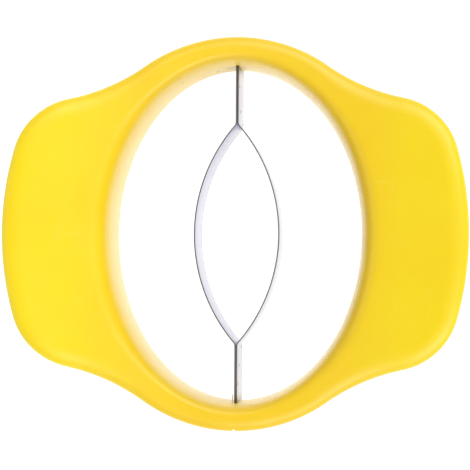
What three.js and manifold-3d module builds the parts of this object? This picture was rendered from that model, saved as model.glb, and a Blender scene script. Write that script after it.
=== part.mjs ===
// A mango splitter: an oval ring with two wide wing handles is pressed down over a mango.
// Two thin steel strips cross the opening. They lie back to back at its two ends and bow apart
// in the middle, so the stone passes between them and the two cheeks pass outside them.
//
// Units are millimetres and +Z is up. The flat rim of the ring rests on Z = 0 and the palms press
// on top. The wings point along X, and the strips run along Y. The part is symmetric about the
// planes X = 0 and Y = 0, and the origin is the middle of the resting face.

import * as THREE from 'three';
import { mergeVertices } from 'three/addons/utils/BufferGeometryUtils.js';
import Module from 'manifold-3d';

// ---- Driving dimensions: the outline seen from above ----
const HALF_WIDTH = 87.5;
const HALF_DEPTH = 74.5;
const WING_END_RADIUS = 120;
const WING_CORNER_RADIUS = 26.8;
const WING_CORNER_START = THREE.MathUtils.degToRad(15.4);
const WAIST_RADIUS = 78.5;
const RING_END_RADIUS = 59.7;

// ---- Driving dimensions: the opening ----
// The throat is the narrowest line of the opening. Above it the wall follows a quarter of a
// squarish oval up to the crest: nearly upright, then quickly rounded over. The higher the
// squareness, the tighter that rounding. Below the throat the wall falls back in a gentle curve
// down to the rim, and the two shells meet there at the seam.
const THROAT_X = 47.7;
const THROAT_Y = 64.3;
const THROAT_Z = 14;
const SEAM_Z = 9;
const WALL_SQUARENESS = 3;
const RIM_SETBACK = 3;

// ---- Driving dimensions: heights and sections ----
// The section is drawn with a level top, and then everything above the seam is lifted by the
// bend, which raises the wings like a shallow smile. Each pair is the value on the plain ring and
// the value on the wings.
const TOP_Z = 34.5;
const BEND_RISE = 12;
const BEND_STARTS_X = 15;
const BEND_POWER = 1.5;
const BEND_FULL_Z = 24;
const CREST_OFFSET = [5.5, 8.5];
const EDGE_RADIUS = [4.4, 7.5];
const EDGE_DROP = [3.4, 4.2];
const UNDER_DROP = [6.5, 8.2];
const UNDER_INSET = [0.4, 3.6];
const ROOT_FILLET = [0.6, 4];
const WING_STARTS_X = 25;
const WING_FULL_X = 60;
const RING_WALL = 10;
const RING_WALL_MARGIN = 0.9;
const RING_WALL_DRAFT = 1.2;
const RIM_ROUNDING = 0.8;
const SHELL_THICKNESS = 2.2;
const SEAM_GAP = 0.3;

// ---- Driving dimensions: the steel strips ----
const STRIP_THICKNESS = 0.55;
const STRIP_TOP_Z = 26;
const STRIP_EDGE_Z = 2.5;
const STRIP_GAP = 0.1;
const BEVEL_HEIGHT = 2.2;
const EDGE_THICKNESS = 0.12;
const LENS_RADIUS = 63.7;
const LENS_HALF_WIDTH = 16.2;
const LENS_BEND_RADIUS = 2.5;
const TAB_OFFSET = 3.7;
const TAB_REACH = 6.5;
const TAB_BEND_RADIUS = 1;
const TAB_TOP_Z = 22;
const TAB_BOTTOM_Z = 4.5;
const SLOT_CLEARANCE = 0.3;

// ---- Fineness of the curves ----
const OUTLINE_STEPS = [5, 5, 5, 5];
const WALL_STEPS = 7;
const LOWER_WALL_STEPS = 2;
const TOP_STEPS = 3;
const EDGE_STEPS = 3;
const LENS_STEPS = 22;
const BEND_STEPS = 4;

const { lerp, smoothstep } = THREE.MathUtils;
const QUARTER_TURN = Math.PI / 2;

// ---- Plan geometry ----

const polar = (centre, radius, angle) =>
  new THREE.Vector2(centre.x + radius * Math.cos(angle), centre.y + radius * Math.sin(angle));

const bearing = (from, to) => Math.atan2(to.y - from.y, to.x - from.x);

// The centre of the circle of radius r that touches circles a and b from outside, on the far
// side from the origin.
function outsideTangentCentre(a, radiusA, b, radiusB, r) {
  const reachA = radiusA + r;
  const reachB = radiusB + r;
  const gap = a.distanceTo(b);
  const along = (reachA ** 2 - reachB ** 2 + gap ** 2) / (2 * gap);
  const across = Math.sqrt(reachA ** 2 - along ** 2);
  const direction = b.clone().sub(a).normalize();
  const foot = a.clone().addScaledVector(direction, along);
  return foot.add(new THREE.Vector2(direction.y, -direction.x).multiplyScalar(across));
}

// One quadrant of the outline, from the wing's end on the X axis to the ring's end on the Y axis,
// as points with outward normals. Each arc leaves out its last point, which starts the next one.
function outlineQuadrant() {
  const endCentre = new THREE.Vector2(HALF_WIDTH - WING_END_RADIUS, 0);
  const cornerCentre = polar(endCentre, WING_END_RADIUS - WING_CORNER_RADIUS, WING_CORNER_START);
  const ringCentre = new THREE.Vector2(0, HALF_DEPTH - RING_END_RADIUS);
  const waistCentre = outsideTangentCentre(
    cornerCentre, WING_CORNER_RADIUS, ringCentre, RING_END_RADIUS, WAIST_RADIUS);
  const arcs = [
    { centre: endCentre, radius: WING_END_RADIUS, from: 0, to: WING_CORNER_START, side: 1 },
    {
      centre: cornerCentre,
      radius: WING_CORNER_RADIUS,
      from: WING_CORNER_START,
      to: bearing(cornerCentre, waistCentre),
      side: 1,
    },
    {
      centre: waistCentre,
      radius: WAIST_RADIUS,
      from: bearing(waistCentre, cornerCentre),
      to: bearing(waistCentre, ringCentre),
      side: -1,
    },
    {
      centre: ringCentre,
      radius: RING_END_RADIUS,
      from: bearing(ringCentre, waistCentre),
      to: QUARTER_TURN,
      side: 1,
    },
  ];
  const points = [];
  arcs.forEach((arc, index) => {
    for (let i = 0; i < OUTLINE_STEPS[index]; i++) {
      const angle = lerp(arc.from, arc.to, i / OUTLINE_STEPS[index]);
      const normal = new THREE.Vector2(Math.cos(angle), Math.sin(angle)).multiplyScalar(arc.side);
      points.push({ point: polar(arc.centre, arc.radius, angle), normal });
    }
  });
  points.push({ point: new THREE.Vector2(0, HALF_DEPTH), normal: new THREE.Vector2(0, 1) });
  return points;
}

// The whole outline, counter-clockwise: the quadrant mirrored into the other three.
function outlineLoop() {
  const quadrant = outlineQuadrant();
  const mirror = ({ point, normal }, sx, sy) => ({
    point: new THREE.Vector2(point.x * sx, point.y * sy),
    normal: new THREE.Vector2(normal.x * sx, normal.y * sy),
  });
  const back = quadrant.slice(1, -1).reverse();
  return [
    ...quadrant,
    ...back.map((entry) => mirror(entry, -1, 1)),
    ...quadrant.map((entry) => mirror(entry, -1, -1)),
    ...back.map((entry) => mirror(entry, 1, -1)),
  ];
}

// A station is one radial section of the body: where it starts on the throat, where it ends on
// the outline, and the section's dimensions there.
function makeStation({ point, normal }) {
  const angle = Math.atan2(point.y, point.x);
  const reach = 1 / Math.hypot(Math.cos(angle) / THROAT_X, Math.sin(angle) / THROAT_Y);
  const throat = new THREE.Vector2(Math.cos(angle), Math.sin(angle)).multiplyScalar(reach);
  const throatNormal = new THREE.Vector2(throat.x / THROAT_X ** 2, throat.y / THROAT_Y ** 2);
  const wing = smoothstep(Math.abs(point.x), WING_STARTS_X, WING_FULL_X);
  const pick = ([ring, full]) => lerp(ring, full, wing);
  const width = point.clone().sub(throat).dot(normal);
  return {
    throat,
    throatNormal: throatNormal.normalize(),
    outline: point,
    outlineNormal: normal,
    crestOffset: Math.min(pick(CREST_OFFSET), width - pick(EDGE_RADIUS)),
    edgeRadius: pick(EDGE_RADIUS),
    edgeDrop: pick(EDGE_DROP),
    underDrop: pick(UNDER_DROP),
    underInset: pick(UNDER_INSET),
    fillet: pick(ROOT_FILLET),
    wallOffset: Math.min(RING_WALL, width - RING_WALL_MARGIN),
  };
}

const STATIONS = outlineLoop().map(makeStation);

// Points of a section: measured outward from the throat, inward from the outline, or between.
const fromThroat = (station, offset) =>
  station.throat.clone().addScaledVector(station.throatNormal, offset);

const fromOutline = (station, inset) =>
  station.outline.clone().addScaledVector(station.outlineNormal, -inset);

const at = (plan, z) => new THREE.Vector3(plan.x, plan.y, z);

// The bend: nothing moves below the throat, and the whole rise is reached well under the wings.
function bend(point) {
  const reach = Math.max(0, Math.abs(point.x) - BEND_STARTS_X) / (HALF_WIDTH - BEND_STARTS_X);
  point.z += BEND_RISE * reach ** BEND_POWER * smoothstep(point.z, SEAM_Z, BEND_FULL_Z);
  return point;
}

// ---- Section curves ----
// Each takes the station and how far inside the outer skin the curve runs: 0 for the skin itself
// and the shell's thickness for the cavity behind it.

// How far the opening's wall has fallen back at a height below the throat.
const wallSetback = (z) => RIM_SETBACK * (Math.max(0, THROAT_Z - z) / THROAT_Z) ** 2;

// The opening's upper wall and the top face, from the throat seam out to the outline seam.
function upperCurve(station, inset) {
  const points = [];
  const seamZ = SEAM_Z + SEAM_GAP / 2;
  const rise = TOP_Z - inset - THROAT_Z;
  const run = station.crestOffset - inset;
  const squared = (share) => share ** (2 / WALL_SQUARENESS);
  for (let i = 0; i < LOWER_WALL_STEPS; i++) {
    const z = lerp(seamZ, THROAT_Z, i / LOWER_WALL_STEPS);
    points.push(at(fromThroat(station, wallSetback(z) + inset), z));
  }
  for (let i = 0; i < WALL_STEPS; i++) {
    const angle = lerp(0, QUARTER_TURN, i / WALL_STEPS);
    const offset = station.crestOffset - run * squared(Math.cos(angle));
    points.push(at(fromThroat(station, offset), THROAT_Z + rise * squared(Math.sin(angle))));
  }
  points.push(at(fromThroat(station, station.crestOffset), TOP_Z - inset));
  const crest = fromThroat(station, station.crestOffset);
  const shoulder = fromOutline(station, station.edgeRadius);
  for (let i = 1; i <= TOP_STEPS; i++) {
    points.push(at(crest.clone().lerp(shoulder, i / TOP_STEPS), TOP_Z - inset));
  }
  const drop = station.edgeDrop - inset - SEAM_GAP / 2;
  const seamEnd = TOP_Z - inset - drop;
  for (let i = 1; i <= EDGE_STEPS; i++) {
    const angle = lerp(QUARTER_TURN, 0, i / EDGE_STEPS);
    const cut = station.edgeRadius - (station.edgeRadius - inset) * Math.cos(angle);
    points.push(at(fromOutline(station, cut), seamEnd + drop * Math.sin(angle)));
  }
  return points;
}

// The wing's underside, the ring's outer wall, the resting rim and the opening's lower wall, from
// the outline seam in to the throat seam.
function lowerCurve(station, inset) {
  const points = [];
  const seamZ = TOP_Z - station.edgeDrop - SEAM_GAP / 2;
  const underZ = TOP_Z - station.underDrop + inset;
  const underReach = station.underInset + inset;
  for (let i = 0; i <= EDGE_STEPS; i++) {
    const angle = lerp(0, QUARTER_TURN, i / EDGE_STEPS);
    const cut = underReach - station.underInset * Math.cos(angle);
    points.push(at(fromOutline(station, cut), seamZ - (seamZ - underZ) * Math.sin(angle)));
  }
  const wall = station.wallOffset - inset;
  const root = fromThroat(station, wall + station.fillet);
  const edge = fromOutline(station, underReach);
  for (let i = 1; i <= TOP_STEPS; i++) {
    points.push(at(edge.clone().lerp(root, i / TOP_STEPS), underZ));
  }
  for (let i = 1; i <= EDGE_STEPS; i++) {
    const angle = lerp(0, QUARTER_TURN, i / EDGE_STEPS);
    const offset = wall + station.fillet * (1 - Math.sin(angle));
    points.push(at(fromThroat(station, offset), underZ - station.fillet * (1 - Math.cos(angle))));
  }
  const rimWall = wall - RING_WALL_DRAFT;
  points.push(at(fromThroat(station, rimWall), inset + RIM_ROUNDING));
  points.push(at(fromThroat(station, rimWall - RIM_ROUNDING), inset));
  const rimTop = inset + RIM_ROUNDING;
  points.push(at(fromThroat(station, wallSetback(rimTop) + inset + RIM_ROUNDING), inset));
  for (let i = 0; i <= LOWER_WALL_STEPS; i++) {
    const z = lerp(rimTop, SEAM_Z - SEAM_GAP / 2, i / LOWER_WALL_STEPS);
    points.push(at(fromThroat(station, wallSetback(z) + inset), z));
  }
  return points;
}

// ---- Solids ----

const wasm = await Module();
wasm.setup();

function toSolid(geometry) {
  const bare = geometry.clone();
  bare.deleteAttribute('normal');
  bare.deleteAttribute('uv');
  const merged = mergeVertices(bare);
  const mesh = new wasm.Mesh({
    numProp: 3,
    vertProperties: new Float32Array(merged.getAttribute('position').array),
    triVerts: new Uint32Array(merged.getIndex().array),
  });
  return new wasm.Manifold(mesh);
}

function toGeometry(solid) {
  const { vertProperties, triVerts } = solid.getMesh();
  const geometry = new THREE.BufferGeometry();
  geometry.setAttribute('position', new THREE.BufferAttribute(vertProperties, 3));
  geometry.setIndex(new THREE.BufferAttribute(triVerts, 1));
  geometry.computeVertexNormals();
  return geometry;
}

// A closed surface through rows of points. Every row is a closed loop. The rows close into a ring,
// or they end in two flat caps.
function loft(rows, closesIntoRing) {
  const count = rows[0].length;
  const indices = [];
  const lastRow = closesIntoRing ? rows.length : rows.length - 1;
  for (let r = 0; r < lastRow; r++) {
    const here = r * count;
    const next = ((r + 1) % rows.length) * count;
    for (let i = 0; i < count; i++) {
      const j = (i + 1) % count;
      indices.push(here + i, here + j, next + j);
      indices.push(here + i, next + j, next + i);
    }
  }
  if (!closesIntoRing) {
    const last = (rows.length - 1) * count;
    for (let i = 1; i < count - 1; i++) {
      indices.push(0, i + 1, i);
      indices.push(last, last + i, last + i + 1);
    }
  }
  const geometry = new THREE.BufferGeometry();
  const positions = rows.flat().flatMap((point) => point.toArray());
  geometry.setAttribute('position', new THREE.Float32BufferAttribute(positions, 3));
  geometry.setIndex(indices);
  geometry.computeVertexNormals();
  return geometry;
}

// The slot that the doubled stems pass through, at both ends of the opening.
function cutStemSlots(shell) {
  const width = 2 * STRIP_THICKNESS + STRIP_GAP + 2 * SLOT_CLEARANCE;
  const height = STRIP_TOP_Z - STRIP_EDGE_Z + 2 * SLOT_CLEARANCE;
  const length = 2 * TAB_OFFSET;
  let cut = shell;
  for (const side of [1, -1]) {
    const box = new THREE.BoxGeometry(width, length, height);
    box.translate(0, side * THROAT_Y, (STRIP_TOP_Z + STRIP_EDGE_Z) / 2);
    cut = cut.subtract(toSolid(box));
  }
  return cut;
}

function shellGeometry(curve) {
  const rows = STATIONS.map((station) => [
    ...curve(station, 0).map(bend),
    ...curve(station, SHELL_THICKNESS).reverse().map(bend),
  ]);
  return toGeometry(cutStemSlots(toSolid(loft(rows, true))));
}

// ---- The steel strips ----

// The middle line of the right strip in plan, as points with the direction to its outer face: a
// tab behind the ring's wall, a stem, half the lens, and the same again mirrored.
function stripPath() {
  const stemX = (STRIP_GAP + STRIP_THICKNESS) / 2;
  const lensCentre = new THREE.Vector2(LENS_HALF_WIDTH - LENS_RADIUS, 0);
  const bendCentreX = stemX + LENS_BEND_RADIUS;
  const reach = LENS_RADIUS + LENS_BEND_RADIUS;
  const bendTurn = Math.acos((bendCentreX - lensCentre.x) / reach);
  const bendCentre = new THREE.Vector2(bendCentreX, reach * Math.sin(bendTurn));
  const tabY = THROAT_Y + TAB_OFFSET;
  const tabCentre = new THREE.Vector2(stemX + TAB_BEND_RADIUS, tabY - TAB_BEND_RADIUS);
  const shoulderY = THROAT_Y + SHELL_THICKNESS;

  const half = [];
  const add = (point, outward, isTab) => half.push({ point, outward, isTab });
  for (let i = 0; i <= LENS_STEPS; i++) {
    const angle = lerp(0, bendTurn, i / LENS_STEPS);
    add(polar(lensCentre, LENS_RADIUS, angle), polar(new THREE.Vector2(), 1, angle), false);
  }
  for (let i = 1; i <= BEND_STEPS; i++) {
    const angle = lerp(bendTurn, 0, i / BEND_STEPS);
    const towards = polar(new THREE.Vector2(), 1, angle);
    add(bendCentre.clone().addScaledVector(towards, -LENS_BEND_RADIUS), towards, false);
  }
  const sideways = new THREE.Vector2(1, 0);
  add(new THREE.Vector2(stemX, shoulderY - SLOT_CLEARANCE), sideways, false);
  add(new THREE.Vector2(stemX, shoulderY), sideways, true);
  for (let i = 0; i <= BEND_STEPS; i++) {
    const angle = lerp(0, QUARTER_TURN, i / BEND_STEPS);
    const towards = new THREE.Vector2(Math.cos(angle), -Math.sin(angle));
    add(tabCentre.clone().addScaledVector(towards, -TAB_BEND_RADIUS), towards, true);
  }
  add(new THREE.Vector2(TAB_REACH, tabY), new THREE.Vector2(0, -1), true);

  const mirrored = half.slice(1).reverse().map(({ point, outward, isTab }) => ({
    point: new THREE.Vector2(point.x, -point.y),
    outward: new THREE.Vector2(outward.x, -outward.y),
    isTab,
  }));
  return [...mirrored, ...half];
}

// The strip is ground on its outer face only, so that the two edges meet where the stems touch.
function stripSection({ point, outward, isTab }) {
  const half = STRIP_THICKNESS / 2;
  const topZ = isTab ? TAB_TOP_Z : STRIP_TOP_Z;
  const edgeZ = isTab ? TAB_BOTTOM_Z : STRIP_EDGE_Z;
  const corner = (offset, z) => at(point.clone().addScaledVector(outward, offset), z);
  return [
    corner(-half, topZ),
    corner(-half, edgeZ),
    corner(EDGE_THICKNESS - half, edgeZ),
    corner(half, edgeZ + BEVEL_HEIGHT),
    corner(half, topZ),
  ];
}

function stripGeometry(side) {
  const rows = stripPath().map(stripSection);
  rows.flat().forEach((corner) => { corner.x *= side; });
  if (side > 0) rows.reverse();
  return loft(rows, false);
}

// ---- The assembly ----

const plastic = (name, geometry) => {
  const material = new THREE.MeshStandardMaterial({ color: 0xf8da2c, roughness: 0.35, metalness: 0 });
  const mesh = new THREE.Mesh(geometry, material);
  mesh.name = name;
  return mesh;
};

const steel = (name, geometry) => {
  const material = new THREE.MeshStandardMaterial({ color: 0xb9bcc0, roughness: 0.3, metalness: 1 });
  const mesh = new THREE.Mesh(geometry, material);
  mesh.name = name;
  return mesh;
};

const splitter = new THREE.Group();
splitter.add(plastic('upper_shell', shellGeometry(upperCurve)));
splitter.add(plastic('lower_shell', shellGeometry(lowerCurve)));
splitter.add(steel('blade_left', stripGeometry(-1)));
splitter.add(steel('blade_right', stripGeometry(1)));

export default splitter;
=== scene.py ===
import math

import bmesh
import bpy
from mathutils import Matrix, Vector


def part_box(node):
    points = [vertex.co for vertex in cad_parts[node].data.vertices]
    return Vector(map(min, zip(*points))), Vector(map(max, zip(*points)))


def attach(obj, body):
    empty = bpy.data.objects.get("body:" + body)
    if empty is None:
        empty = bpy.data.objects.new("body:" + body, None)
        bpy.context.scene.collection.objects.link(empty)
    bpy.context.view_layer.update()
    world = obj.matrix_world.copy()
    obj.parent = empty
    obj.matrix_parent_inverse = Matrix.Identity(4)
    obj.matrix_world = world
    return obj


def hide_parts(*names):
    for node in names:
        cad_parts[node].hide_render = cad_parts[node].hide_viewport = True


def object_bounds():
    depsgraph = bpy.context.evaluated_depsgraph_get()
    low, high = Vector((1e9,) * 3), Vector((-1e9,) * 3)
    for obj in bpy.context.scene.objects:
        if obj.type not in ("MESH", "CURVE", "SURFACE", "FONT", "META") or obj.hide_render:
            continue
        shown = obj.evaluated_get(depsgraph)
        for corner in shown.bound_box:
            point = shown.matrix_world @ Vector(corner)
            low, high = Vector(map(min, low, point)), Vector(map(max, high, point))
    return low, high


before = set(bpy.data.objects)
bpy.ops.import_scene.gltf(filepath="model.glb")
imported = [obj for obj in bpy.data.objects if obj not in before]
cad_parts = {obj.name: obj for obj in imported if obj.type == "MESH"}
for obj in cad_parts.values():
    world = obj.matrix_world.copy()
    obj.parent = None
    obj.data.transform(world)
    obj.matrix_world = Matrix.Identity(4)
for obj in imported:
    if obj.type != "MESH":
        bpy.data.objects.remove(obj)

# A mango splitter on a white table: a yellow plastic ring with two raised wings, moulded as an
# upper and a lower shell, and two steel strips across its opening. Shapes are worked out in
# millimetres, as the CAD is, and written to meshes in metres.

CAD_LOW, CAD_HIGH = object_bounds()
MM = 0.001

# ---- Outline and opening (millimetres) ----
HALF_WIDTH = CAD_HIGH.x / MM
# The visible shells reach slightly past the CAD outline at both ends of Y.
OUTLINE_GROWTH = 0.35
HALF_DEPTH = CAD_HIGH.y / MM + OUTLINE_GROWTH
WING_END_RADIUS = 120
WING_CORNER_RADIUS = 26.8
WING_CORNER_START = math.radians(15.4)
WAIST_RADIUS = 78.5
RING_END_RADIUS = 59.7
THROAT_X = 47.7
THROAT_Y = 64.3
THROAT_Z = 14
SEAM_Z = 9
WALL_SQUARENESS = 3
RIM_SETBACK = 3

# ---- Section: each pair is the value on the plain ring and on the wings ----
TOP_Z = 34.5
BEND_RISE = 12
BEND_STARTS_X = 15
BEND_POWER = 1.5
BEND_FULL_Z = 24
CREST_OFFSET = (5.5, 8.5)
EDGE_RADIUS = (4.4, 7.5)
EDGE_DROP = (3.4, 4.2)
UNDER_DROP = (6.5, 8.2)
UNDER_INSET = (0.4, 3.6)
ROOT_FILLET = (0.6, 4)
WING_STARTS_X = 25
WING_FULL_X = 60
RING_WALL = 10
RING_WALL_MARGIN = 0.9
RING_WALL_DRAFT = 1.2
RIM_ROUNDING = 0.8
SHELL_THICKNESS = 2.2
SEAM_GAP = 0.08
SEAM_ROUNDING = 0.16

# ---- Steel strips: heights come from the CAD strip ----
STRIP_LOW, STRIP_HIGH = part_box("blade_right")
STRIP_TOP_Z = STRIP_HIGH.z / MM
STRIP_EDGE_Z = STRIP_LOW.z / MM
STRIP_THICKNESS = 0.55
STRIP_GAP = 0.1
STRIP_TOP_ROUNDING = 0.1
ROUNDING_MIDPOINT = 0.3
BEVEL_HEIGHT = 2.2
EDGE_THICKNESS = 0.08
LENS_RADIUS = 63.7
LENS_HALF_WIDTH = 16.2
LENS_BEND_RADIUS = 2.5
TAB_OFFSET = 3.7
TAB_REACH = 6.5
TAB_BEND_RADIUS = 1
TAB_TOP_Z = 22
TAB_BOTTOM_Z = 4.5
SLOT_CLEARANCE = 0.06
TAB_ROOM = 0.6

# A sliver of moulding flash beside the near stem, and a nick in the ring's near edge, where a
# moulding gate may have been (places and sizes in millimetres).
FLASH_CENTRE = (-1.3, -62.8, 24.4)
FLASH_SIZE = (0.32, 3.4, 1.6)
NICK_CENTRE = (-0.1, -75.3, 33)
NICK_SIZE = (2, 2, 14)

# Small marks like spot welds on the outer faces of both stems: (distance along Y, height).
WELDS = ((56.9, 22.8), (47.6, 18.6), (43.6, 7.0), (-43.6, 7.4), (-50.5, 18.5), (-57.5, 22.8))
WELD_RADIUS = 0.55
WELD_HEIGHT = 0.12

# ---- Fineness ----
OUTLINE_STEPS = (16, 18, 18, 18)
WALL_STEPS = 24
LOWER_WALL_STEPS = 6
TOP_STEPS = 10
EDGE_STEPS = 12
SEAM_STEPS = 3
LENS_STEPS = 70
BEND_STEPS = 10
SHELL_SHARP_ANGLE = 35
STRIP_SHARP_ANGLE = 28


# ---- Plan geometry ----

def lerp(a, b, share):
    return a + (b - a) * share


def smoothstep(value, low, high):
    share = min(1, max(0, (value - low) / (high - low)))
    return share * share * (3 - 2 * share)


def polar(centre, radius, angle):
    return Vector((centre.x + radius * math.cos(angle), centre.y + radius * math.sin(angle)))


def bearing(start, end):
    return math.atan2(end.y - start.y, end.x - start.x)


def outside_tangent_centre(a, radius_a, b, radius_b, radius):
    """The centre of the circle that touches circles a and b from outside, away from the origin."""
    reach_a = radius_a + radius
    reach_b = radius_b + radius
    gap = (b - a).length
    along = (reach_a**2 - reach_b**2 + gap**2) / (2 * gap)
    across = math.sqrt(reach_a**2 - along**2)
    direction = (b - a).normalized()
    return a + direction * along + Vector((direction.y, -direction.x)) * across


def outline_quadrant():
    """Points and outward normals from the wing's end on X to the ring's end on Y."""
    end_centre = Vector((HALF_WIDTH - WING_END_RADIUS, 0))
    corner_centre = polar(end_centre, WING_END_RADIUS - WING_CORNER_RADIUS, WING_CORNER_START)
    ring_centre = Vector((0, HALF_DEPTH - RING_END_RADIUS))
    waist_centre = outside_tangent_centre(
        corner_centre, WING_CORNER_RADIUS, ring_centre, RING_END_RADIUS, WAIST_RADIUS)
    arcs = (
        (end_centre, WING_END_RADIUS, 0, WING_CORNER_START, 1),
        (corner_centre, WING_CORNER_RADIUS, WING_CORNER_START, bearing(corner_centre, waist_centre), 1),
        (waist_centre, WAIST_RADIUS, bearing(waist_centre, corner_centre),
         bearing(waist_centre, ring_centre), -1),
        (ring_centre, RING_END_RADIUS, bearing(ring_centre, waist_centre), math.pi / 2, 1),
    )
    points = []
    for (centre, radius, start, end, side), steps in zip(arcs, OUTLINE_STEPS):
        for i in range(steps):
            angle = lerp(start, end, i / steps)
            normal = Vector((math.cos(angle), math.sin(angle))) * side
            points.append((polar(centre, radius, angle), normal))
    points.append((Vector((0, HALF_DEPTH)), Vector((0, 1))))
    return points


def outline_loop():
    """The quadrant mirrored into the other three, counter-clockwise."""
    quadrant = outline_quadrant()
    back = quadrant[-2:0:-1]

    def mirrored(entries, sx, sy):
        return [tuple(Vector((v.x * sx, v.y * sy)) for v in entry) for entry in entries]

    return quadrant + mirrored(back, -1, 1) + mirrored(quadrant, -1, -1) + mirrored(back, 1, -1)


class Station:
    """One radial section of the body, from the throat of the opening to the outline."""

    def __init__(self, point, normal):
        angle = math.atan2(point.y, point.x)
        reach = 1 / math.hypot(math.cos(angle) / THROAT_X, math.sin(angle) / THROAT_Y)
        self.throat = Vector((math.cos(angle), math.sin(angle))) * reach
        slope = Vector((self.throat.x / THROAT_X**2, self.throat.y / THROAT_Y**2))
        self.throat_normal = slope.normalized()
        self.outline = point
        self.outline_normal = normal
        self.wing = smoothstep(abs(point.x), WING_STARTS_X, WING_FULL_X)
        width = (point - self.throat).dot(normal)
        self.edge_radius = self.pick(EDGE_RADIUS)
        self.crest_offset = min(self.pick(CREST_OFFSET), width - self.edge_radius)
        self.edge_drop = self.pick(EDGE_DROP)
        self.under_drop = self.pick(UNDER_DROP)
        self.under_inset = self.pick(UNDER_INSET)
        self.fillet = self.pick(ROOT_FILLET)
        self.wall_offset = min(RING_WALL, width - RING_WALL_MARGIN)

    def pick(self, pair):
        return lerp(pair[0], pair[1], self.wing)

    def from_throat(self, offset):
        return self.throat + self.throat_normal * offset

    def from_outline(self, inset):
        return self.outline - self.outline_normal * inset


STATIONS = [Station(point, normal) for point, normal in outline_loop()]


def at(plan, z):
    return Vector((plan.x, plan.y, z))


def bend(point):
    """Raises everything above the seam, more and more towards the wings' ends."""
    reach = max(0, abs(point.x) - BEND_STARTS_X) / (HALF_WIDTH - BEND_STARTS_X)
    lift = BEND_RISE * reach**BEND_POWER * smoothstep(point.z, SEAM_Z, BEND_FULL_Z)
    return at(point, point.z + lift)


# ---- Section curves ----

def wall_setback(z):
    """How far the opening's wall has fallen back at a height below the throat."""
    return RIM_SETBACK * (max(0, THROAT_Z - z) / THROAT_Z)**2


def upper_curve(station, inset):
    """The opening's upper wall and the top face, from the throat seam out to the outline seam."""
    points = []
    foot_z = SEAM_Z + SEAM_GAP / 2
    rise = TOP_Z - inset - THROAT_Z
    run = station.crest_offset - inset
    if inset == 0:
        for i in range(SEAM_STEPS):
            angle = lerp(0, math.pi / 2, i / SEAM_STEPS)
            offset = wall_setback(foot_z) + SEAM_ROUNDING * (1 - math.sin(angle))
            points.append(at(station.from_throat(offset), foot_z + SEAM_ROUNDING * (1 - math.cos(angle))))
        foot_z += SEAM_ROUNDING
    for i in range(LOWER_WALL_STEPS):
        z = lerp(foot_z, THROAT_Z, i / LOWER_WALL_STEPS)
        points.append(at(station.from_throat(wall_setback(z) + inset), z))
    for i in range(WALL_STEPS):
        angle = lerp(0, math.pi / 2, i / WALL_STEPS)
        offset = station.crest_offset - run * math.cos(angle)**(2 / WALL_SQUARENESS)
        z = THROAT_Z + rise * math.sin(angle)**(2 / WALL_SQUARENESS)
        points.append(at(station.from_throat(offset), z))
    crest = station.from_throat(station.crest_offset)
    points.append(at(crest, TOP_Z - inset))
    shoulder = station.from_outline(station.edge_radius)
    for i in range(1, TOP_STEPS + 1):
        points.append(at(crest.lerp(shoulder, i / TOP_STEPS), TOP_Z - inset))
    seam_round = SEAM_ROUNDING if inset == 0 else 0
    drop = station.edge_drop - inset - SEAM_GAP / 2 - seam_round
    seam_end = TOP_Z - inset - drop
    for i in range(1, EDGE_STEPS + 1):
        angle = lerp(math.pi / 2, 0, i / EDGE_STEPS)
        cut = station.edge_radius - (station.edge_radius - inset) * math.cos(angle)
        points.append(at(station.from_outline(cut), seam_end + drop * math.sin(angle)))
    if inset == 0:
        for i in range(1, SEAM_STEPS + 1):
            angle = lerp(0, math.pi / 2, i / SEAM_STEPS)
            cut = SEAM_ROUNDING * (1 - math.cos(angle))
            points.append(at(station.from_outline(cut), seam_end - SEAM_ROUNDING * math.sin(angle)))
    return points


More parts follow.
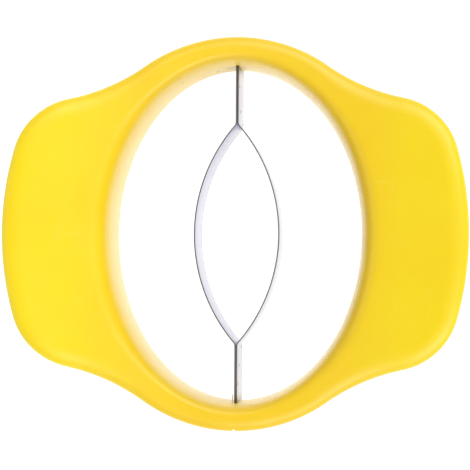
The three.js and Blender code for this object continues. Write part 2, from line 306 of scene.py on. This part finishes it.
def lower_curve(station, inset):
    """The wing's underside, the ring's outer wall, the resting rim and the opening's lower wall."""
    points = []
    seam_z = TOP_Z - station.edge_drop - SEAM_GAP / 2
    if inset == 0:
        for i in range(SEAM_STEPS):
            angle = lerp(math.pi / 2, 0, i / SEAM_STEPS)
            cut = SEAM_ROUNDING * (1 - math.cos(angle))
            points.append(at(station.from_outline(cut), seam_z - SEAM_ROUNDING * (1 - math.sin(angle))))
        seam_z -= SEAM_ROUNDING
    under_z = TOP_Z - station.under_drop + inset
    under_reach = station.under_inset + inset
    for i in range(EDGE_STEPS + 1):
        angle = lerp(0, math.pi / 2, i / EDGE_STEPS)
        cut = under_reach - station.under_inset * math.cos(angle)
        points.append(at(station.from_outline(cut), seam_z - (seam_z - under_z) * math.sin(angle)))
    wall = station.wall_offset - inset
    root = station.from_throat(wall + station.fillet)
    edge = station.from_outline(under_reach)
    for i in range(1, TOP_STEPS + 1):
        points.append(at(edge.lerp(root, i / TOP_STEPS), under_z))
    for i in range(1, EDGE_STEPS + 1):
        angle = lerp(0, math.pi / 2, i / EDGE_STEPS)
        offset = wall + station.fillet * (1 - math.sin(angle))
        points.append(at(station.from_throat(offset), under_z - station.fillet * (1 - math.cos(angle))))
    rim_wall = wall - RING_WALL_DRAFT
    rim_low = inset + RIM_ROUNDING
    for i in range(1, TOP_STEPS + 1):
        share = i / TOP_STEPS
        z = lerp(under_z - station.fillet, rim_low, share)
        points.append(at(station.from_throat(lerp(wall, rim_wall, share)), z))
    for i in range(1, SEAM_STEPS + 1):
        angle = lerp(0, math.pi / 2, i / SEAM_STEPS)
        offset = rim_wall - RIM_ROUNDING * (1 - math.cos(angle))
        points.append(at(station.from_throat(offset), rim_low - RIM_ROUNDING * math.sin(angle)))
    setback = wall_setback(rim_low) + inset
    for i in range(SEAM_STEPS):
        angle = lerp(math.pi / 2, 0, i / SEAM_STEPS)
        offset = setback + RIM_ROUNDING * (1 - math.cos(angle))
        points.append(at(station.from_throat(offset), rim_low - RIM_ROUNDING * math.sin(angle)))
    seam_round = SEAM_ROUNDING if inset == 0 else 0
    top = SEAM_Z - SEAM_GAP / 2 - seam_round
    for i in range(LOWER_WALL_STEPS + 1):
        z = lerp(rim_low, top, i / LOWER_WALL_STEPS)
        points.append(at(station.from_throat(wall_setback(z) + inset), z))
    if inset == 0:
        for i in range(1, SEAM_STEPS + 1):
            angle = lerp(0, math.pi / 2, i / SEAM_STEPS)
            offset = wall_setback(top) + SEAM_ROUNDING * (1 - math.cos(angle))
            points.append(at(station.from_throat(offset), top + SEAM_ROUNDING * math.sin(angle)))
    return points


# ---- Meshes ----

def loft(name, rows, closes_into_ring):
    """A closed surface through rows of points: a ring of rows, or a bar with two flat ends."""
    count = len(rows[0])
    faces = []
    last_row = len(rows) if closes_into_ring else len(rows) - 1
    for r in range(last_row):
        here = r * count
        there = (r + 1) % len(rows) * count
        for i in range(count):
            j = (i + 1) % count
            faces.append((here + i, here + j, there + j, there + i))
    if not closes_into_ring:
        last = (len(rows) - 1) * count
        faces.append(tuple(reversed(range(count))))
        faces.append(tuple(range(last, last + count)))
    mesh = bpy.data.meshes.new(name)
    mesh.from_pydata([point * MM for row in rows for point in row], [], faces)
    piece = bpy.data.objects.new(name, mesh)
    bpy.context.scene.collection.objects.link(piece)
    return piece


def tidy_shading(piece, sharp_degrees):
    """Faces point outward and are smooth, and edges sharper than the angle stay crisp."""
    mesh = piece.data
    work = bmesh.new()
    work.from_mesh(mesh)
    bmesh.ops.recalc_face_normals(work, faces=work.faces)
    limit = math.radians(sharp_degrees)
    for face in work.faces:
        face.smooth = True
    for edge in work.edges:
        edge.smooth = edge.calc_face_angle(0) < limit
    work.to_mesh(mesh)
    work.free()


def box_piece(name, centre, size):
    """A plain box used only as a cutter."""
    mesh = bpy.data.meshes.new(name)
    work = bmesh.new()
    bmesh.ops.create_cube(work, size=1)
    bmesh.ops.scale(work, vec=size, verts=work.verts)
    bmesh.ops.translate(work, vec=centre, verts=work.verts)
    work.to_mesh(mesh)
    work.free()
    piece = bpy.data.objects.new(name, mesh)
    bpy.context.scene.collection.objects.link(piece)
    return piece


def cut_away(piece, cutter):
    """Takes the cutter's shape out of the piece, and removes the cutter."""
    cut = piece.modifiers.new("cut", "BOOLEAN")
    cut.operation = "DIFFERENCE"
    cut.solver = "EXACT"
    cut.object = cutter
    bpy.context.view_layer.update()
    bpy.context.view_layer.objects.active = piece
    bpy.ops.object.modifier_apply(modifier=cut.name)
    bpy.data.objects.remove(cutter)


def cut_stem_slots(piece):
    """The slots through the opening's wall for the doubled stems, and room behind for their tabs."""
    width = 2 * STRIP_THICKNESS + STRIP_GAP + 2 * SLOT_CLEARANCE
    height = STRIP_TOP_Z - STRIP_EDGE_Z + 2 * SLOT_CLEARANCE
    middle = (STRIP_TOP_Z + STRIP_EDGE_Z) / 2
    for side in (1, -1):
        centre = Vector((0, side * THROAT_Y, middle)) * MM
        slot = box_piece("slot_cutter", centre, Vector((width, 2 * TAB_OFFSET, height)) * MM)
        cut_away(piece, slot)
        tab_y = THROAT_Y + TAB_OFFSET
        centre = Vector((0, side * tab_y, (TAB_TOP_Z + TAB_BOTTOM_Z) / 2)) * MM
        size = (2 * TAB_REACH + TAB_ROOM, 2 * (TAB_BEND_RADIUS + SLOT_CLEARANCE),
                TAB_TOP_Z - TAB_BOTTOM_Z + TAB_ROOM)
        cut_away(piece, box_piece("tab_room_cutter", centre, Vector(size) * MM))


def cut_gate_nick(piece):
    """A small V in the ring's outer edge, cut by the corner of a turned box."""
    cutter = box_piece("nick_cutter", Vector((0, 0, 0)), Vector(NICK_SIZE) * MM)
    cutter.rotation_euler.z = math.radians(45)
    cutter.location = Vector(NICK_CENTRE) * MM
    cut_away(piece, cutter)


def add_flash(piece):
    """A thin sliver of plastic left beside the stem where it enters the wall."""
    work = bmesh.new()
    work.from_mesh(piece.data)
    sliver = bmesh.ops.create_uvsphere(work, u_segments=16, v_segments=8, radius=0.5)
    bmesh.ops.scale(work, vec=Vector(FLASH_SIZE) * MM, verts=sliver["verts"])
    bmesh.ops.translate(work, vec=Vector(FLASH_CENTRE) * MM, verts=sliver["verts"])
    work.to_mesh(piece.data)
    work.free()


def make_shell(name, curve):
    """A hollow shell: each row runs round the skin and back round the cavity."""
    rows = []
    for station in STATIONS:
        skin = [bend(point) for point in curve(station, 0)]
        cavity = [bend(point) for point in curve(station, SHELL_THICKNESS)]
        rows.append(skin + cavity[::-1])
    piece = loft(name, rows, True)
    cut_stem_slots(piece)
    cut_gate_nick(piece)
    if curve is upper_curve:
        add_flash(piece)
    tidy_shading(piece, SHELL_SHARP_ANGLE)
    return piece


# ---- Steel strips ----

def strip_path():
    """The right strip's middle line: tab, stem, lens, stem and tab, with its outward direction."""
    stem_x = (STRIP_GAP + STRIP_THICKNESS) / 2
    lens_centre = Vector((LENS_HALF_WIDTH - LENS_RADIUS, 0))
    reach = LENS_RADIUS + LENS_BEND_RADIUS
    turn = math.acos((stem_x + LENS_BEND_RADIUS - lens_centre.x) / reach)
    bend_centre = Vector((stem_x + LENS_BEND_RADIUS, reach * math.sin(turn)))
    tab_y = THROAT_Y + TAB_OFFSET
    tab_centre = Vector((stem_x + TAB_BEND_RADIUS, tab_y - TAB_BEND_RADIUS))
    shoulder_y = THROAT_Y + SHELL_THICKNESS
    origin = Vector((0, 0))
    half = []
    for i in range(LENS_STEPS + 1):
        angle = lerp(0, turn, i / LENS_STEPS)
        half.append((polar(lens_centre, LENS_RADIUS, angle), polar(origin, 1, angle), False))
    for i in range(1, BEND_STEPS + 1):
        outward = polar(origin, 1, lerp(turn, 0, i / BEND_STEPS))
        half.append((bend_centre - outward * LENS_BEND_RADIUS, outward, False))
    sideways = Vector((1, 0))
    half.append((Vector((stem_x, shoulder_y - SLOT_CLEARANCE)), sideways, False))
    half.append((Vector((stem_x, shoulder_y)), sideways, True))
    for i in range(BEND_STEPS + 1):
        angle = lerp(0, math.pi / 2, i / BEND_STEPS)
        outward = Vector((math.cos(angle), -math.sin(angle)))
        half.append((tab_centre - outward * TAB_BEND_RADIUS, outward, True))
    half.append((Vector((TAB_REACH, tab_y)), Vector((0, -1)), True))

    def flipped(vector):
        return Vector((vector.x, -vector.y))

    other = [(flipped(point), flipped(outward), is_tab) for point, outward, is_tab in half[:0:-1]]
    return other + half


def strip_section(point, outward, is_tab):
    """Rounded top corners, a flat inner face and a bevel ground on the outer face."""
    half = STRIP_THICKNESS / 2
    top_z = TAB_TOP_Z if is_tab else STRIP_TOP_Z
    edge_z = TAB_BOTTOM_Z if is_tab else STRIP_EDGE_Z
    soft = STRIP_TOP_ROUNDING
    nick = ROUNDING_MIDPOINT * soft
    profile = (
        (-half, edge_z + BEVEL_HEIGHT),
        (-half, edge_z),
        (EDGE_THICKNESS - half, edge_z),
        (half, edge_z + BEVEL_HEIGHT),
        (half, top_z - soft),
        (half - nick, top_z - nick),
        (half - soft, top_z),
        (soft - half, top_z),
        (nick - half, top_z - nick),
        (-half, top_z - soft),
    )
    return [at(point + outward * offset, z) for offset, z in profile]


def add_welds(work, side):
    """Shallow round spot-weld marks on the stem's outer face."""
    face_x = side * (STRIP_GAP / 2 + STRIP_THICKNESS)
    for y, z in WELDS:
        spot = bmesh.ops.create_uvsphere(work, u_segments=20, v_segments=10, radius=WELD_RADIUS * MM)
        bmesh.ops.scale(work, vec=(WELD_HEIGHT / WELD_RADIUS, 1, 1), verts=spot["verts"])
        bmesh.ops.translate(work, vec=Vector((face_x, y, z)) * MM, verts=spot["verts"])
        for face in {face for vert in spot["verts"] for face in vert.link_faces}:
            face.material_index = 2


def make_strip(name, side):
    """The steel strip on one side, with its top edge and weld marks in their own materials."""
    rows = [strip_section(*step) for step in strip_path()]
    for row in rows:
        for corner in row:
            corner.x *= side
    piece = loft(name, rows, False)
    tidy_shading(piece, STRIP_SHARP_ANGLE)
    work = bmesh.new()
    work.from_mesh(piece.data)
    top = (STRIP_TOP_Z - STRIP_TOP_ROUNDING) * MM
    for face in work.faces:
        middle = face.calc_center_median()
        if middle.z > top and abs(face.normal.z) > 0.9:
            face.material_index = 1
    add_welds(work, side)
    for face in work.faces:
        face.smooth = True
    work.to_mesh(piece.data)
    work.free()
    return piece


# ---- Materials ----

def new_material(name):
    material = bpy.data.materials.new(name)
    material.use_nodes = True
    tree = material.node_tree
    for node in list(tree.nodes):
        tree.nodes.remove(node)
    output = tree.nodes.new("ShaderNodeOutputMaterial")
    shader = tree.nodes.new("ShaderNodeBsdfPrincipled")
    tree.links.new(shader.outputs["BSDF"], output.inputs["Surface"])
    return material, tree, shader


def math_node(tree, operation, first, second):
    node = tree.nodes.new("ShaderNodeMath")
    node.operation = operation
    for socket, value in zip(node.inputs, (first, second)):
        if isinstance(value, bpy.types.NodeSocket):
            tree.links.new(value, socket)
        else:
            socket.default_value = value
    return node.outputs[0]


def noise(tree, coordinates, scale, detail=3, stretch=(1, 1, 1)):
    """Noise in object space: scale counts features per metre, and stretch squeezes each axis."""
    mapping = tree.nodes.new("ShaderNodeMapping")
    mapping.inputs["Scale"].default_value = stretch
    tree.links.new(coordinates, mapping.inputs["Vector"])
    texture = tree.nodes.new("ShaderNodeTexNoise")
    texture.inputs["Scale"].default_value = scale
    texture.inputs["Detail"].default_value = detail
    tree.links.new(mapping.outputs["Vector"], texture.inputs["Vector"])
    return texture.outputs["Fac"]


def ramp(tree, factor, stops):
    """A colour ramp through (position, colour) stops, the colour given as three linear numbers."""
    node = tree.nodes.new("ShaderNodeValToRGB")
    elements = node.color_ramp.elements
    while len(elements) < len(stops):
        elements.new(0.5)
    for element, (position, colour) in zip(elements, stops):
        element.position = position
        element.color = (*colour, 1)
    tree.links.new(factor, node.inputs["Fac"])
    return node.outputs["Color"]


def ranged(tree, factor, low, high, to_low, to_high):
    node = tree.nodes.new("ShaderNodeMapRange")
    tree.links.new(factor, node.inputs["Value"])
    for name, value in (("From Min", low), ("From Max", high), ("To Min", to_low), ("To Max", to_high)):
        node.inputs[name].default_value = value
    return node.outputs["Result"]


def mixed(tree, factor, first, second, blend="MIX"):
    """Blends two colours; a colour is a socket or three linear numbers."""
    node = tree.nodes.new("ShaderNodeMix")
    node.data_type = "RGBA"
    node.blend_type = blend
    if isinstance(factor, bpy.types.NodeSocket):
        tree.links.new(factor, node.inputs["Factor"])
    else:
        node.inputs["Factor"].default_value = factor
    for socket, value in zip((node.inputs[6], node.inputs[7]), (first, second)):
        if isinstance(value, bpy.types.NodeSocket):
            tree.links.new(value, socket)
        else:
            socket.default_value = (*value, 1)
    return node.outputs[2]


def bump(tree, shader, layers):
    """Stacks (height, strength, distance) bumps onto the shader's normal."""
    normal = None
    for height, strength, distance in layers:
        node = tree.nodes.new("ShaderNodeBump")
        node.inputs["Strength"].default_value = strength
        node.inputs["Distance"].default_value = distance
        tree.links.new(height, node.inputs["Height"])
        if normal is not None:
            tree.links.new(normal, node.inputs["Normal"])
        normal = node.outputs["Normal"]
    tree.links.new(normal, shader.inputs["Normal"])


def object_coordinates(tree):
    return tree.nodes.new("ShaderNodeTexCoord").outputs["Object"]


# The wings are lemon yellow and the ring a warmer yellow. They blend between these distances
# from the middle, along X, in millimetres.
RING_COLOUR_ENDS = 36
WING_COLOUR_STARTS = 64
WING_YELLOW = (0.93, 0.705, 0.004)
WING_YELLOW_DEEP = (0.93, 0.675, 0.004)
RING_YELLOW = (0.91, 0.625, 0.012)
RING_YELLOW_DEEP = (0.90, 0.595, 0.01)
DARK_SPOT_AND_SHADOW_BROWN = (0.30, 0.20, 0.05)
SCRATCH_PALE = (0.97, 0.80, 0.20)


def spot_mask(tree, coordinates, centre, size):
    """1 at the centre of an ellipsoid (millimetres), falling to 0 at its surface."""
    mapping = tree.nodes.new("ShaderNodeMapping")
    mapping.vector_type = "TEXTURE"
    mapping.inputs["Location"].default_value = [value * MM for value in centre]
    mapping.inputs["Scale"].default_value = [value * MM for value in size]
    tree.links.new(coordinates, mapping.inputs["Vector"])
    length = tree.nodes.new("ShaderNodeVectorMath")
    length.operation = "LENGTH"
    tree.links.new(mapping.outputs["Vector"], length.inputs[0])
    return ranged(tree, length.outputs["Value"], 1, 0.3, 0, 1)


# Small dark spots on the plastic near the stems, one of them a painted shadow of the blade: (centre, half
# size, strength), in millimetres.
DARK_SPOTS_AND_BLADE_SHADOW = (
    ((-8.4, 63.6, 18), (0.8, 1.6, 2.0), 0.85),
    ((-3.0, 64.2, 22), (2.6, 1.5, 2.4), 0.5),
    # Painted shadow of the blade, right of the stem at +Y.
    ((2.1, 64.2, 21), (2.2, 1.5, 3.6), 0.6),
    ((-1.3, -62.6, 24.5), (0.9, 2.8, 2.4), 0.7),
)


# Two touches that stand in for the light of the pictured object, not for its plastic. The yellow
# is multiplied by a tint towards +X, over this distance either side of the middle (millimetres).
SHADE_FALLOFF_REACH = 50
PAINTED_SHADE_TINT = (0.93, 0.92, 1)
# The wall of the opening is paler and glossier, like plastic that mirrors a white table. Its mask
# is full inside the first ellipse and gone outside the second, as squared sizes of the throat.
THROAT_YELLOW = (0.95, 0.78, 0.3)
THROAT_PALENESS = 0.45
THROAT_GLOSS = 0.14
THROAT_MASK_FULL = 1.03
THROAT_MASK_ENDS = 1.1


def throat_mask(tree, split):
    """1 on the wall of the opening, falling to 0 on the rounding above it."""
    squares = []
    for axis, half in (("X", THROAT_X), ("Y", THROAT_Y)):
        share = math_node(tree, "DIVIDE", split.outputs[axis], half * MM)
        squares.append(math_node(tree, "POWER", share, 2))
    size = math_node(tree, "ADD", squares[0], squares[1])
    return ranged(tree, size, THROAT_MASK_ENDS, THROAT_MASK_FULL, 0, 1)


def scratch_mask(tree, coordinates):
    """Fine hairline scratches in two directions, bent by a slow drift of the coordinates."""
    wander = tree.nodes.new("ShaderNodeVectorMath")
    wander.operation = "ADD"
    tree.links.new(coordinates, wander.inputs[0])
    drift = tree.nodes.new("ShaderNodeTexNoise")
    drift.inputs["Scale"].default_value = 35
    tree.links.new(coordinates, drift.inputs["Vector"])
    shrink = tree.nodes.new("ShaderNodeVectorMath")
    shrink.operation = "SCALE"
    shrink.inputs["Scale"].default_value = 0.02
    tree.links.new(drift.outputs["Color"], shrink.inputs[0])
    tree.links.new(shrink.outputs["Vector"], wander.inputs[1])
    lengthways = noise(tree, wander.outputs["Vector"], 520, 1, (1, 0.06, 1))
    crossways = noise(tree, wander.outputs["Vector"], 480, 1, (0.07, 1, 1))
    return math_node(tree, "MAXIMUM", ranged(tree, lengthways, 0.7, 0.8, 0, 1),
                     ranged(tree, crossways, 0.7, 0.8, 0, 1))


def yellow_plastic():
    """Glossy moulded plastic with soft blotches, hairline scratches, small dark spots and a painted
    shadow of the blade.
    """
    material, tree, shader = new_material("yellow_plastic")
    coordinates = object_coordinates(tree)
    blotches = noise(tree, coordinates, 26, 4)
    wing = ramp(tree, blotches, ((0.35, WING_YELLOW_DEEP), (0.6, WING_YELLOW)))
    ring = ramp(tree, blotches, ((0.35, RING_YELLOW_DEEP), (0.6, RING_YELLOW)))
    split = tree.nodes.new("ShaderNodeSeparateXYZ")
    tree.links.new(coordinates, split.inputs["Vector"])
    sideways = math_node(tree, "ABSOLUTE", split.outputs["X"], 0)
    wing_share = ranged(tree, sideways, RING_COLOUR_ENDS * MM, WING_COLOUR_STARTS * MM, 0, 1)
    colour = mixed(tree, wing_share, ring, wing)
    # Painted shade: the yellow is darkened towards +X.
    shade_share = ranged(tree, split.outputs["X"], -SHADE_FALLOFF_REACH * MM, SHADE_FALLOFF_REACH * MM, 0, 1)
    colour = mixed(tree, shade_share, colour, PAINTED_SHADE_TINT, "MULTIPLY")
    throat = throat_mask(tree, split)
    colour = mixed(tree, math_node(tree, "MULTIPLY", throat, THROAT_PALENESS), colour, THROAT_YELLOW)

    scratches = math_node(tree, "MULTIPLY", scratch_mask(tree, coordinates),
                          ranged(tree, throat, 0, 0.5, 1, 0))
    colour = mixed(tree, math_node(tree, "MULTIPLY", scratches, 0.1), colour, SCRATCH_PALE)

    speckle = noise(tree, coordinates, 900, 4)
    # Small dark spots near the stems, one of them a painted shadow of the blade.
    for centre, size, darkness in DARK_SPOTS_AND_BLADE_SHADOW:
        patch = spot_mask(tree, coordinates, centre, size)
        broken = math_node(tree, "MULTIPLY", patch, ranged(tree, speckle, 0.35, 0.65, 0.2, 1))
        colour = mixed(tree, math_node(tree, "MULTIPLY", broken, darkness), colour, DARK_SPOT_AND_SHADOW_BROWN)
    tree.links.new(colour, shader.inputs["Base Color"])

    wear = noise(tree, coordinates, 60, 5)
    roughness = math_node(tree, "ADD", ranged(tree, wear, 0.3, 0.7, 0.33, 0.42),
                          math_node(tree, "MULTIPLY", scratches, 0.12))
    roughness = math_node(tree, "SUBTRACT", roughness, math_node(tree, "MULTIPLY", throat, THROAT_GLOSS))
    tree.links.new(roughness, shader.inputs["Roughness"])
    shader.inputs["IOR"].default_value = 1.53
    shader.inputs["Subsurface Weight"].default_value = 0.12
    shader.inputs["Subsurface Radius"].default_value = (1, 0.6, 0.15)
    shader.inputs["Subsurface Scale"].default_value = 1.2 * MM
    peel = noise(tree, coordinates, 700, 2)
    swell = noise(tree, coordinates, 60, 1)
    bump(tree, shader, (
        (swell, 0.25, 0.3 * MM),
        (peel, 0.1, 0.03 * MM),
        (scratches, 0.05, -0.01 * MM),
    ))
    return material


# A slightly darker and duller band along the lower edge of each strip, and a brown darkening
# towards the ends of the stems. Heights and distances along Y are in millimetres, colours linear.
LOWER_BAND_Z = 5.2
LOWER_BAND_BLUR = 0.6
LOWER_BAND_STEEL = (0.2, 0.2, 0.21)
STEM_END_DARK_STARTS_Y = 60.8
STEM_END_DARK_FULL_Y = 64.2
STEM_END_BROWN = (0.2, 0.16, 0.07)
FACE_STEEL = (0.67, 0.67, 0.76)
CUT_STEEL = (0.24, 0.24, 0.25)
WELD_STEEL = (0.13, 0.12, 0.11)


def brushed_steel(name, tint, low_roughness, high_roughness):
    """Rolled steel strip: streaks run along the strip, that is, mostly along Y."""
    material, tree, shader = new_material(name)
    coordinates = object_coordinates(tree)
    streaks = noise(tree, coordinates, 1400, 3, (1, 0.03, 1))
    fine = noise(tree, coordinates, 5200, 2, (1, 0.02, 1))
    blotches = noise(tree, coordinates, 70, 4)
    dark = [value * 0.82 for value in tint]
    colour = ramp(tree, streaks, ((0.3, dark), (0.65, tint)))
    colour = mixed(tree, ranged(tree, blotches, 0.45, 0.75, 0, 0.3), colour, dark)
    split = tree.nodes.new("ShaderNodeSeparateXYZ")
    tree.links.new(coordinates, split.inputs["Vector"])
    # A darker, duller band along the lower edge of the strip.
    lower_band = ranged(tree, split.outputs["Z"], LOWER_BAND_Z * MM,
                   (LOWER_BAND_Z - LOWER_BAND_BLUR) * MM, 0, 0.25)
    colour = mixed(tree, lower_band, colour, LOWER_BAND_STEEL)
    reach = math_node(tree, "ABSOLUTE", split.outputs["Y"], 0)
    # Brown darkening towards the ends of the stems.
    at_ends = ranged(tree, reach, STEM_END_DARK_STARTS_Y * MM, STEM_END_DARK_FULL_Y * MM, 0, 0.8)
    stem_end_dark = math_node(tree, "MULTIPLY", at_ends, ranged(tree, blotches, 0.35, 0.55, 0.4, 1))
    colour = mixed(tree, stem_end_dark, colour, STEM_END_BROWN)
    tree.links.new(colour, shader.inputs["Base Color"])
    shader.inputs["Metallic"].default_value = 1
    roughness = math_node(tree, "ADD", ranged(tree, streaks, 0.3, 0.7, low_roughness, high_roughness),
                          math_node(tree, "MULTIPLY", lower_band, 0.3))
    tree.links.new(roughness, shader.inputs["Roughness"])
    bump(tree, shader, ((streaks, 0.15, 0.01 * MM), (fine, 0.2, 0.005 * MM)))
    return material


# ---- The object ----

plastic = yellow_plastic()
steel = brushed_steel("blade_steel", FACE_STEEL, 0.24, 0.36)
cut_edge = brushed_steel("blade_cut_edge", CUT_STEEL, 0.4, 0.5)
weld = brushed_steel("blade_weld", WELD_STEEL, 0.35, 0.5)

for name, curve in (("upper_shell", upper_curve), ("lower_shell", lower_curve)):
    shell = make_shell(name + "_moulded", curve)
    shell.data.materials.append(plastic)
    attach(shell, "root")
    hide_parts(name)

for name, side in (("blade_left", -1), ("blade_right", 1)):
    strip = make_strip(name + "_ground", side)
    for material in (steel, cut_edge, weld):
        strip.data.materials.append(material)
    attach(strip, "root")
    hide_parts(name)

for name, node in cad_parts.items():
    node.data.materials.clear()
    node.data.materials.append(steel if name.startswith("blade") else plastic)

# ---- Floor ----

# Metres. The floor lies a hair below the resting rim, so that the two faces never coincide.
FLOOR_HALF = 6
FLOOR_Z = -0.03 * MM
FLOOR_GREY = 0.35
FLOOR_GLOW = 0.93
floor_mesh = bpy.data.meshes.new("floor")
floor_mesh.from_pydata(
    [(-FLOOR_HALF, -FLOOR_HALF, FLOOR_Z), (FLOOR_HALF, -FLOOR_HALF, FLOOR_Z),
     (FLOOR_HALF, FLOOR_HALF, FLOOR_Z), (-FLOOR_HALF, FLOOR_HALF, FLOOR_Z)],
    [], [(0, 1, 2, 3)])
floor = bpy.data.objects.new("floor", floor_mesh)
bpy.context.scene.collection.objects.link(floor)
floor_material, _, floor_shader = new_material("white_table")
floor_shader.inputs["Base Color"].default_value = (FLOOR_GREY, FLOOR_GREY, FLOOR_GREY, 1)
floor_shader.inputs["Roughness"].default_value = 0.9
floor_shader.inputs["Specular IOR Level"].default_value = 0
floor_shader.inputs["Emission Color"].default_value = (1, 1, 1, 1)
floor_shader.inputs["Emission Strength"].default_value = FLOOR_GLOW
floor_mesh.materials.append(floor_material)

# ---- Light ----

HORIZON_GREY = (0.5, 0.5, 0.5)
ZENITH_GREY = (0.3, 0.3, 0.3)
world = bpy.data.worlds.new("studio")
bpy.context.scene.world = world
world.use_nodes = True
sky = world.node_tree
sky_position = sky.nodes.new("ShaderNodeTexCoord")
split = sky.nodes.new("ShaderNodeSeparateXYZ")
sky.links.new(sky_position.outputs["Generated"], split.inputs["Vector"])
sky_colour = ramp(sky, split.outputs["Z"], ((0, HORIZON_GREY), (0.85, ZENITH_GREY)))
background = sky.nodes["Background"]
sky.links.new(sky_colour, background.inputs["Color"])
background.inputs["Strength"].default_value = 1


def softbox(name, location, width, height, power):
    """A rectangular light aimed at the origin; sizes in metres and power in watts."""
    data = bpy.data.lights.new(name, "AREA")
    data.shape = "RECTANGLE"
    data.size = width
    data.size_y = height
    data.energy = power
    light = bpy.data.objects.new(name, data)
    light.location = location
    light.rotation_mode = "QUATERNION"
    light.rotation_quaternion = (-Vector(location)).to_track_quat("-Z", "Y")
    bpy.context.scene.collection.objects.link(light)


softbox("front_softbox", (0.42, -0.74, 0.9), 1.1, 0.8, 9.2)
softbox("back_softbox", (0.34, 0.74, 0.9), 1.2, 0.8, 9.2)
softbox("left_fill", (-0.95, 0, 0.4), 0.8, 0.5, 1.2)

# ---- Camera: above the object, a little to the right of it ----

CAMERA_POSITION = Vector((57.1, -19.8, 662.0)) * MM
CAMERA_TARGET = Vector((-0.59, -0.44, 26)) * MM
CAMERA_ROLL = -0.0062
LENS_TO_WIDTH = 3.552
SENSOR_WIDTH = 36
camera_data = bpy.data.cameras.new("camera")
camera_data.sensor_width = SENSOR_WIDTH
camera_data.lens = SENSOR_WIDTH * LENS_TO_WIDTH
camera_data.clip_start = 0.01
camera_data.clip_end = 50
camera = bpy.data.objects.new("camera", camera_data)
forward = (CAMERA_TARGET - CAMERA_POSITION).normalized()
right = forward.cross(Vector((math.sin(CAMERA_ROLL), math.cos(CAMERA_ROLL), 0))).normalized()
upward = right.cross(forward)
turned = Matrix((right, upward, -forward)).transposed().to_4x4()
camera.matrix_world = Matrix.Translation(CAMERA_POSITION) @ turned
bpy.context.scene.collection.objects.link(camera)
bpy.context.scene.camera = camera

bpy.context.scene.view_settings.view_transform = "Standard"

bpy.context.view_layer.update()
